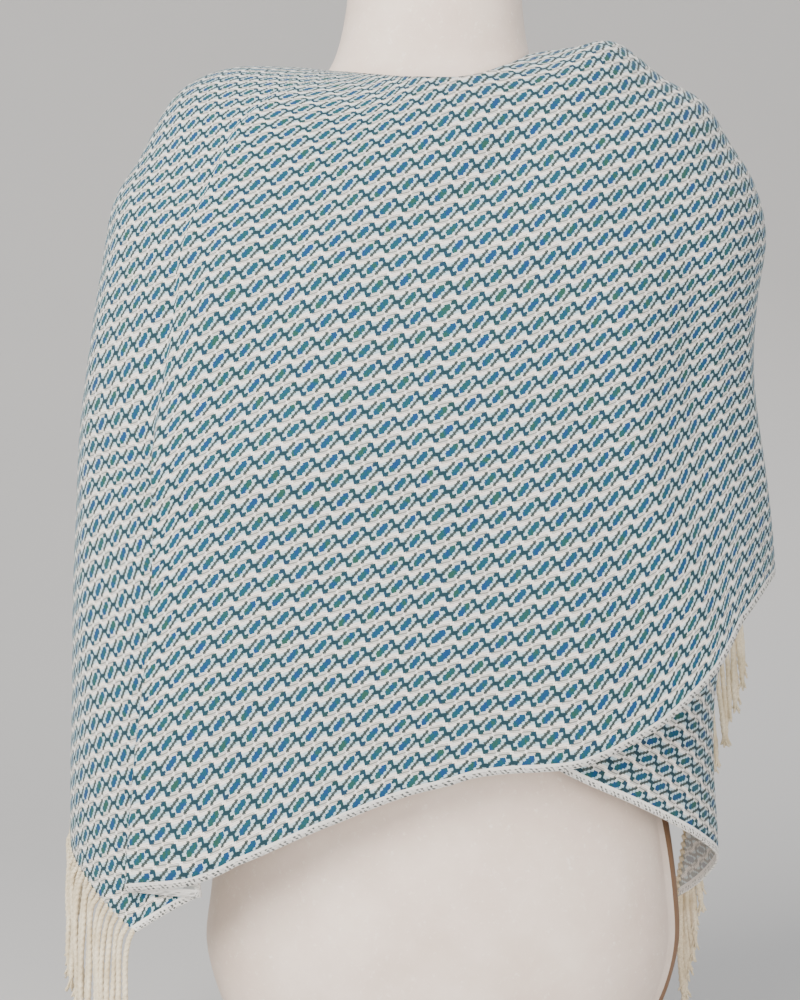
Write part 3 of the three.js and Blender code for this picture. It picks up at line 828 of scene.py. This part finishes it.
def makeForm():
    bm = bmesh.new()
    around, upward = form["around"], form["upward"]
    bmesh.ops.create_grid(bm, x_segments=around, y_segments=upward, size=1)
    last = len(form["sections"]) - 1
    for vert in bm.verts:
        turn = math.pi * (vert.co.x + 1)
        row = (vert.co.y + 1) / 2 * last
        half = column(form["sections"], "half", row)
        face = "front" if math.sin(turn) < 0 else "back"
        depth = column(form["sections"], face, row)
        x = column(form["sections"], "middle", row) + half * signedPower(math.cos(turn), form["square"])
        y = depth * signedPower(math.sin(turn), form["square"])
        height = column(form["sections"], "height", row)
        if x > 0:  # a strip stands proud of its right side
            strip = form["strip"]
            inside = min(y - strip["front"], strip["back"] - y, strip["top"] - height,
                         height - strip["bottom"])
            x += strip["out"] * ease(inside / strip["edge"] + 0.5)
        vert.co = Vector((x, y, height)) * mm
    bmesh.ops.remove_doubles(bm, verts=bm.verts, dist=0.05 * mm)
    bmesh.ops.holes_fill(bm, edges=bm.edges, sides=0)
    bmesh.ops.recalc_face_normals(bm, faces=bm.faces)
    for face in bm.faces:
        face.smooth = len(face.verts) < 5
    return objectFrom(bm, form["name"])


dressForm = makeForm()
print("dress form lofted")

# ---- materials ----


def linear(code):  # an sRGB hex colour as linear light
    channels = [int(code[k:k + 2], 16) / 255 for k in (1, 3, 5)]
    return tuple(c / 12.92 if c < 0.04045 else ((c + 0.055) / 1.055) ** 2.4 for c in channels) + (1,)


def fillInputs(node, inputs):  # a value may be a number, a colour, a socket or a node
    for key, value in inputs.items():
        if isinstance(key, int):
            socket = node.inputs[key]
        else:
            socket = next(s for s in node.inputs if s.name == key and s.enabled)
        if isinstance(value, bpy.types.Node):
            value = next(s for s in value.outputs if s.enabled)
        if isinstance(value, bpy.types.NodeSocket):
            node.id_data.links.new(value, socket)
        else:
            socket.default_value = value


def addNode(tree, kind, inputs=None, **settings):
    node = tree.nodes.new(kind)
    for name, value in settings.items():
        setattr(node, name, value)
    fillInputs(node, inputs or {})
    return node


def newMaterial(name):
    material = bpy.data.materials.new(name)
    material.use_nodes = True
    tree = material.node_tree
    shader = next(n for n in tree.nodes if n.type == "BSDF_PRINCIPLED")
    return material, partial(addNode, tree), shader


# One repeat of the twill, charted as a weaver does: a row for each warp end, a sign for each
# pick. "#" is a bright float of the weft, "%" a float in painted shade, "o" a short crossing and
# "-" a faint one, both weft darkened by painted shade where it sinks between the floats, and "."
# the white warp on top. A repeat is 18.9 mm by 12.9 mm.
weaveChart = [
    ".........------.",
    "......oo.....%%%",
    "....oo...###...%",
    "..oo...#####...%",
    ".%...#####...oo.",
    ".%...###...oo...",
    ".%%%.....oo.....",
    "..------........",
]
clothHues = {
    "warp": "#efefec",
    "warpTint": "#f1e9df",
    # painted shade in the soft gap beside each warp end
    "warpGapShade": "#9ea3a2",
    # a painted reflection of the blue weft, tinting the warp inside an oval
    "warpBlueReflection": "#b3d0dc",
    "blue": "#17457a",
    "teal": "#185264",
    "green": "#2a5649",
    # the weft's painted shade, which the links between the ovals also take
    "shade": "#1e3a44",
    # the next two: weft darkened by painted shade where it sinks between the floats
    "crossing": "#35403f",
    "faint": "#757a76",
}
thread = {
    "bulgeAlong": 0.31,      # in picks
    "bulgeAcross": 0.37,     # in ends
    "uneven": (0.05, 0.055, 0),  # how far the weave wanders, in repeats and chains
    "link": (0.36, 1.1, 0),  # how quickly a link between ovals ends, along and across
    "relief": 0.5 * mm,
    "bump": 0.35,
}
selvedge = {
    "wide": 5.0,
    "lane": 1.6,             # the lanes of turns are one warp end apart
    "lanes": 2,
    "thick": 0.72,           # of a turn, in lanes
    "waver": 2.2,            # how far the lanes wander, in lanes
    "turn": 3.4,
    "step": 0.42,            # part of a turn by which each lane's turns are set on
    "group": 9.45,
    "dark": 0.72,            # part of a group with dark turns
    "within": 0.9,           # how dark they are there,
    "between": 0.2,          # and in the rest of it
}
calc = "ShaderNodeMath"
vectors = "ShaderNodeVectorMath"
blend = "ShaderNodeMix"
ranged = "ShaderNodeMapRange"
clouds = "ShaderNodeTexNoise"
hued = {"data_type": "RGBA"}
smooth = {"interpolation_type": "SMOOTHSTEP"}


def maskOf(symbol, pick):  # the ends of one pick that carry a symbol, as the bits of a number
    ends = len(weaveChart)
    return sum(2 ** end for end in range(ends) if weaveChart[ends - 1 - end][pick] == symbol)


def chartAt(add, pickAt, endAt):  # a share for each of the chart's four signs, at one place
    picks, ends = len(weaveChart[0]), len(weaveChart)
    pick = add(calc, {0: pickAt}, operation="FLOOR")
    pick = add(calc, {0: pick, 1: picks}, operation="FLOORED_MODULO")
    pick = add(calc, {0: pick, 1: 1 / picks, 2: 0.5 / picks}, operation="MULTIPLY_ADD")
    end = add(calc, {0: endAt}, operation="FLOOR")
    end = add(calc, {0: end, 1: ends}, operation="FLOORED_MODULO")
    bit = add(calc, {0: 2, 1: end}, operation="POWER")
    ramp = add("ShaderNodeValToRGB", {0: pick})
    ramp.color_ramp.interpolation = "CONSTANT"
    stops = ramp.color_ramp.elements
    while len(stops) < picks:
        stops.new(1.0)
    for k in range(picks):
        stops[k].position = k / picks
        stops[k].color = [maskOf(symbol, k) / 256 for symbol in "#%o-"]
    masks = add("ShaderNodeSeparateColor", {0: ramp})
    found = []
    for output in (masks.outputs[0], masks.outputs[1], masks.outputs[2], ramp.outputs[1]):
        number = add(calc, {0: output, 1: 256, 2: 0.5}, operation="MULTIPLY_ADD")
        share = add(calc, {0: number, 1: bit}, operation="DIVIDE")
        share = add(calc, {0: share}, operation="FLOOR")
        found.append(add(calc, {0: share, 1: 2}, operation="MODULO"))
    return found


def threadRound(add, at):  # 1 along the middle of each thread, 0 where it dips beside the next
    part = add(calc, {0: at}, operation="FRACT")
    centred = add(calc, {0: part, 1: 2, 2: -1}, operation="MULTIPLY_ADD")
    square = add(calc, {0: centred, 1: centred}, operation="MULTIPLY")
    return add(calc, {0: 1, 1: square}, operation="SUBTRACT")


def selvedgeAt(add):  # the plain band's share, and the share of the weft's turns on it
    edgeMap = add("ShaderNodeUVMap", uv_map="selvedge")
    place = add("ShaderNodeSeparateXYZ", {0: edgeMap})
    along, away = place.outputs[0], place.outputs[1]
    band = add(calc, {0: away, 1: selvedge["wide"] * mm}, operation="LESS_THAN")
    waver = add(clouds, {"Vector": edgeMap, "Scale": 190})
    waver = add(calc, {0: waver.outputs[0], 1: selvedge["waver"], 2: -selvedge["waver"] / 2},
                operation="MULTIPLY_ADD")
    lane = add(calc, {0: away, 1: 1 / (selvedge["lane"] * mm), 2: waver}, operation="MULTIPLY_ADD")
    laneWhole = add(calc, {0: lane}, operation="FLOOR")
    lanePart = add(calc, {0: lane}, operation="FRACT")
    turns = add(calc, {0: along, 1: selvedge["turn"] * mm}, operation="DIVIDE")
    turns = add(calc, {0: lane, 1: selvedge["step"], 2: turns}, operation="MULTIPLY_ADD")
    beat = add(calc, {0: turns}, operation="FRACT")
    group = add(calc, {0: along, 1: selvedge["group"] * mm}, operation="DIVIDE")
    group = add(calc, {0: group}, operation="FRACT")
    group = add(calc, {0: group, 1: selvedge["dark"]}, operation="LESS_THAN")
    group = add(calc, {0: group, 1: selvedge["within"] - selvedge["between"], 2: selvedge["between"]},
                operation="MULTIPLY_ADD")
    onTurn = add(calc, {0: beat, 1: 0.5}, operation="LESS_THAN")
    onLane = add(calc, {0: lanePart, 1: 0.5, 2: selvedge["thick"] / 2}, operation="COMPARE")
    outside = add(calc, {0: laneWhole, 1: selvedge["lanes"] - 0.5}, operation="LESS_THAN")
    turned = onTurn
    for share in (onLane, outside, group):
        turned = add(calc, {0: turned, 1: share}, operation="MULTIPLY")
    return band, turned


def weaveMaterial(name, pale):  # a soft matt twill: white warp floats over a dyed weft
    material, add, shader = newMaterial(name)
    picks, ends = len(weaveChart[0]), len(weaveChart)
    hues = {key: linear(code) for key, code in clothHues.items()}
    # hand weaving is a little uneven, so the chart is read at places that wander
    uv = add("ShaderNodeUVMap", uv_map="weave")
    uneven = add(clouds, {"Vector": uv, "Scale": 3, "Detail": 3, "Roughness": 0.75})
    shifted = add(vectors, {0: uneven.outputs[1], 1: (-0.5, -0.5, -0.5)}, operation="ADD")
    placed = add(vectors, {0: shifted, 1: thread["uneven"], 2: uv}, operation="MULTIPLY_ADD")
    place = add("ShaderNodeSeparateXYZ", {0: placed})
    pickAt = add(calc, {0: place.outputs[0], 1: picks}, operation="MULTIPLY")
    endAt = add(calc, {0: place.outputs[1], 1: ends}, operation="MULTIPLY")
    # Each float bulges a little past its own place, up the slant of the twill and down it, so
    # the chart is read at both of those places.
    readings = []
    for way in (1, -1):
        pickHere = add(calc, {0: pickAt, 1: way * thread["bulgeAlong"]}, operation="ADD")
        endHere = add(calc, {0: endAt, 1: way * thread["bulgeAcross"]}, operation="ADD")
        readings.append(chartAt(add, pickHere, endHere))
    floats, shaded, crossing, faint = [add(calc, {0: a, 1: b}, operation="MAXIMUM")
                                       for a, b in zip(*readings)]
    pickWhole = add(calc, {0: pickAt}, operation="FLOOR")
    endWhole = add(calc, {0: endAt}, operation="FLOOR")
    pickRound = threadRound(add, pickAt)
    endRound = threadRound(add, endAt)
    # the weft is dyed in stretches, so its hue wanders along each pick and from pick to pick
    hueAt = add("ShaderNodeCombineXYZ", {0: pickWhole, 1: endAt})
    hueAt = add(vectors, {0: hueAt, 1: (0.17, 0.13, 0)}, operation="MULTIPLY")
    hue = add(clouds, {"Vector": hueAt, "Scale": 1, "Detail": 3, "Roughness": 0.65})
    dye = add("ShaderNodeValToRGB", {0: hue.outputs[0]})
    dye.color_ramp.elements[0].position = 0.38
    dye.color_ramp.elements[0].color = hues["green"]
    dye.color_ramp.elements[1].position = 0.6
    dye.color_ramp.elements[1].color = hues["blue"]
    dye.color_ramp.elements.new(0.48).color = hues["teal"]
    # painted shade: the weft darkens where it dips beside the next pick, and a shaded float is mostly
    # painted shade over the dye
    dipShade = add(ranged, {"Value": pickRound, "From Min": 0, "From Max": 0.6, "To Min": 0.6,
                       "To Max": 0.1}, **smooth)
    weft = add(blend, {"Factor": dipShade, "A": dye, "B": hues["shade"]}, **hued)
    shadedWeft = add(blend, {"Factor": 0.78, "A": dye, "B": hues["shade"]}, **hued)
    # the warp has the fibre's own unevenness, a painted reflection of the blue weft that makes it
    # bluer inside an oval, and painted shade in a soft gap beside each end
    fibre = add(clouds, {"Vector": uv, "Scale": 9, "Detail": 2})
    fibre = add(ranged, {"Value": fibre.outputs[0], "From Min": 0.45, "From Max": 0.62}, **smooth)
    warp = add(blend, {"Factor": fibre, "A": hues["warp"], "B": hues["warpTint"]}, **hued)
    offLine = add(calc, {0: endAt, 1: ends}, operation="PINGPONG")
    offLine = add(calc, {0: offLine, 1: ends / 2}, operation="SUBTRACT")
    offLine = add(calc, {0: offLine}, operation="ABSOLUTE")
    inside = add(ranged, {"Value": offLine, "From Min": 1.6, "From Max": 2.9, "To Min": 1,
                          "To Max": 0}, **smooth)
    warp = add(blend, {"Factor": inside, "A": warp, "B": hues["warpBlueReflection"]}, **hued)
    # painted shade: a soft dark gap beside each end, set along the twill's slant
    slant = add(calc, {0: pickAt, 1: 0.25}, operation="MULTIPLY")
    slant = add(calc, {0: endWhole, 1: 0.31, 2: slant}, operation="MULTIPLY_ADD")
    slant = add(calc, {0: slant}, operation="FRACT")
    gapShadeHere = add(ranged, {"Value": slant, "From Min": 0.45, "From Max": 0.7, "To Min": 0.35}, **smooth)
    gapShadeDepth = add(ranged, {"Value": endRound, "From Min": 0, "From Max": 0.5, "To Min": 1,
                            "To Max": 0}, **smooth)
    gap = add(calc, {0: gapShadeDepth, 1: gapShadeHere}, operation="MULTIPLY")
    warp = add(blend, {"Factor": gap, "A": warp, "B": hues["warpGapShade"]}, **hued)
    # a crossing is a rounded spot, and the links between the ovals lie across two ends; crossings and
    # faint dashes are weft darkened by painted shade where it sinks between the floats
    spot = add(ranged, {"Value": endRound, "From Min": 0, "From Max": 0.3, "To Min": 0.55}, **smooth)
    crossing = add(calc, {0: crossing, 1: spot}, operation="MULTIPLY")
    spot = add(ranged, {"Value": endRound, "From Min": 0.25, "From Max": 0.8, "To Max": 0.9}, **smooth)
    faint = add(calc, {0: faint, 1: spot}, operation="MULTIPLY")
    linkAlong = add(calc, {0: pickAt, 1: 0.5}, operation="SUBTRACT")
    linkAlong = add(calc, {0: linkAlong, 1: picks / 2}, operation="PINGPONG")
    linkAt = add("ShaderNodeCombineXYZ", {0: linkAlong, 1: offLine})
    linkAt = add(vectors, {0: linkAt, 1: thread["link"]}, operation="MULTIPLY")
    linkReach = add(vectors, {0: linkAt, 1: linkAt}, operation="DOT_PRODUCT")
    link = add(ranged, {"Value": linkReach.outputs["Value"], "From Min": 0.6, "From Max": 1.25,
                        "To Min": 1, "To Max": 0}, **smooth)
    # the selvedge is a white band with short dark turns of the weft, drawn in the crossing colour with
    # its painted shade
    band, turned = selvedgeAt(add)
    edged = add(blend, {"Factor": turned, "A": hues["warp"], "B": hues["crossing"]}, **hued)
    colour = warp
    for share, over in ((faint, hues["faint"]), (crossing, hues["crossing"]), (shaded, shadedWeft),
                        (floats, weft), (link, hues["shade"]), (band, edged), (pale, hues["warp"])):
        colour = add(blend, {"Factor": share, "A": colour, "B": over}, **hued)
    # the light catches each thread: the weft where it floats, and the warp elsewhere
    weftOn = add(calc, {0: floats, 1: shaded}, operation="MAXIMUM")
    relief = add(blend, {"Factor": weftOn, "A": endRound, "B": pickRound})
    sunk = add(calc, {0: crossing, 1: faint}, operation="MAXIMUM")
    relief = add(calc, {0: sunk, 1: -0.8, 2: relief}, operation="MULTIPLY_ADD")
    bump = add("ShaderNodeBump", {"Strength": thread["bump"], "Distance": thread["relief"],
                                  "Height": relief})
    fillInputs(shader, {"Base Color": colour, "Normal": bump, "Roughness": 0.9,
                        "Specular IOR Level": 0.25, "Sheen Weight": 0.08, "Sheen Roughness": 0.5})
    return material


def yarnMaterial(name, base, shade):  # undyed twisted yarn, soft and matt, with a fine fuzz
    material, add, shader = newMaterial(name)
    spot = add("ShaderNodeTexCoord").outputs["Object"]
    fine = add(clouds, {"Vector": spot, "Scale": 900, "Detail": 3})
    broad = add(clouds, {"Vector": spot, "Scale": 60, "Detail": 2})
    both = add(calc, {0: fine.outputs[0], 1: broad.outputs[0]}, operation="MULTIPLY")
    share = add(ranged, {"Value": both, "From Min": 0.12, "From Max": 0.4})
    colour = add(blend, {"Factor": share, "A": linear(shade), "B": linear(base)}, **hued)
    bump = add("ShaderNodeBump", {"Strength": 0.5, "Distance": 0.3 * mm, "Height": fine.outputs[0]})
    fillInputs(shader, {"Base Color": colour, "Normal": bump, "Roughness": 0.92,
                        "Specular IOR Level": 0.2, "Sheen Weight": 0.2})
    return material


def formMaterial():  # painted shell: mottled, half matt, with a brown strip along its right side
    material, add, shader = newMaterial("paintedShell")
    spot = add("ShaderNodeTexCoord").outputs["Object"]
    cloudy = add(clouds, {"Vector": spot, "Scale": 18, "Detail": 6, "Roughness": 0.62})
    fleck = add(clouds, {"Vector": spot, "Scale": 220, "Detail": 4, "Roughness": 0.7})
    tone = add("ShaderNodeValToRGB", {0: cloudy.outputs[0]})
    tone.color_ramp.elements[0].position = 0.3
    tone.color_ramp.elements[0].color = linear("#e2cfc2")
    tone.color_ramp.elements[1].position = 0.7
    tone.color_ramp.elements[1].color = linear("#f3e4d8")
    dots = add(ranged, {"Value": fleck.outputs[0], "From Min": 0.58, "From Max": 0.75})
    flecked = add(blend, {"Factor": dots, "A": tone, "B": linear("#faf0e5")}, **hued)
    strip = form["strip"]
    middle = (strip["back"] + strip["front"]) / 2 * mm
    half = (strip["back"] - strip["front"]) / 2 * mm
    place = add("ShaderNodeSeparateXYZ", {0: spot})
    onStrip = add(calc, {0: place.outputs[1], 1: middle, 2: half}, operation="COMPARE")
    onRight = add(calc, {0: place.outputs[0], 1: 0.05}, operation="GREATER_THAN")
    isLow = add(calc, {0: place.outputs[2], 1: strip["top"] * mm}, operation="LESS_THAN")
    share = add(calc, {0: onStrip, 1: onRight}, operation="MULTIPLY")
    share = add(calc, {0: share, 1: isLow}, operation="MULTIPLY")
    flecked = add(blend, {"Factor": share, "A": flecked, "B": linear("#7d6048")}, **hued)
    bump = add("ShaderNodeBump", {"Strength": 0.25, "Distance": 0.6 * mm, "Height": fleck.outputs[0]})
    fillInputs(shader, {"Base Color": flecked, "Normal": bump, "Roughness": 0.55,
                        "Specular IOR Level": 0.4})
    return material


def stageMaterial():  # plain painted board, pale and quiet behind the cloth
    material, add, shader = newMaterial("paleBoard")
    spot = add("ShaderNodeTexCoord").outputs["Object"]
    grain = add(clouds, {"Vector": spot, "Scale": 3, "Detail": 2})
    colour = add(blend, {"Factor": grain.outputs[0], "A": linear("#c9c9c9"),
                         "B": linear("#cdcccb")}, **hued)
    fillInputs(shader, {"Base Color": colour, "Roughness": 0.9})
    return material


cloth.data.materials.append(weaveMaterial("wovenCloth", 0.0))
cloth.data.materials.append(weaveMaterial("wovenClothWrongSide", 0.45))
yarn = yarnMaterial("fringeYarn", "#efe5cd", "#cfc1a1")
outerFringe.data.materials.append(yarn)
innerFringe.data.materials.append(yarn)
dressForm.data.materials.append(formMaterial())
print("materials made")

# ---- what each piece stands for ----

for piece in (cloth, outerFringe, innerFringe, dressForm):
    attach(piece, "root")
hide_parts("stole_front", "stole_left_end", "stole_right_shoulder", "stole_back",
            "stole_inner_front", "stole_inner_end")
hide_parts("fringe_outer_end")
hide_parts("fringe_inner_end")
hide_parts("dress_form")

# ---- floor, lights and camera ----

studio = {
    "distance": 1.6,       # camera to the form's axis
    "aim": (-0.028, 0.42),  # across and up
    "tall": 0.70,          # height of the view at the axis
    "floorFront": -4.0,
    "floorHalf": 5.0,
    "floorDepth": 5.2,
    "sweep": 1.6,
    "wall": 2.5,
}


def makeFloor():  # a floor that sweeps up into the wall behind
    bm = bmesh.new()
    bmesh.ops.create_grid(bm, x_segments=1, y_segments=48, size=1)
    flat, bend, tall = studio["floorDepth"], studio["sweep"], studio["wall"]
    curve = bend * math.pi / 2
    for vert in bm.verts:
        run = (vert.co.y + 1) / 2 * (flat + curve + tall)
        turn = clamp((run - flat) / curve) * math.pi / 2
        y = min(run, flat) + bend * math.sin(turn) + studio["floorFront"]
        z = bend * (1 - math.cos(turn)) + max(0, run - flat - curve)
        vert.co = Vector((vert.co.x * studio["floorHalf"], y, z))
    for face in bm.faces:
        face.smooth = True
    return objectFrom(bm, "floor")


floor = makeFloor()
floor.data.materials.append(stageMaterial())

world = bpy.data.worlds.new("studio")
world.use_nodes = True
background = next(n for n in world.node_tree.nodes if n.type == "BACKGROUND")
background.inputs[0].default_value = linear("#e8ebef")
background.inputs[1].default_value = 0.68
bpy.context.scene.world = world


def addLight(name, place, aim, size, power, tint):
    data = bpy.data.lights.new(name, "AREA")
    data.shape = "DISK"
    data.size = size
    data.energy = power
    data.color = linear(tint)[:3]
    lamp = bpy.data.objects.new(name, data)
    lamp.location = place
    lamp.rotation_euler = (Vector(aim) - Vector(place)).to_track_quat("-Z", "Y").to_euler()
    bpy.context.scene.collection.objects.link(lamp)


addLight("key", (-1.4, -2.2, 1.9), (0, 0, 0.45), 2.2, 158, "#fff8ef")
addLight("fill", (0.7, -2.4, 0.3), (0, 0, 0.35), 1.8, 50, "#fdf2e9")
addLight("back", (0.8, 1.6, 1.9), (0, 0, 0.5), 1.2, 16, "#ffffff")

cameraData = bpy.data.cameras.new("camera")
cameraData.sensor_fit = "VERTICAL"
cameraData.sensor_height = 24
cameraData.lens = 24 * studio["distance"] / studio["tall"]
camera = bpy.data.objects.new("camera", cameraData)
camera.location = (studio["aim"][0], -studio["distance"], studio["aim"][1])
camera.rotation_euler = (math.radians(90), 0, 0)
bpy.context.scene.collection.objects.link(camera)
bpy.context.scene.camera = camera
print("stage set")
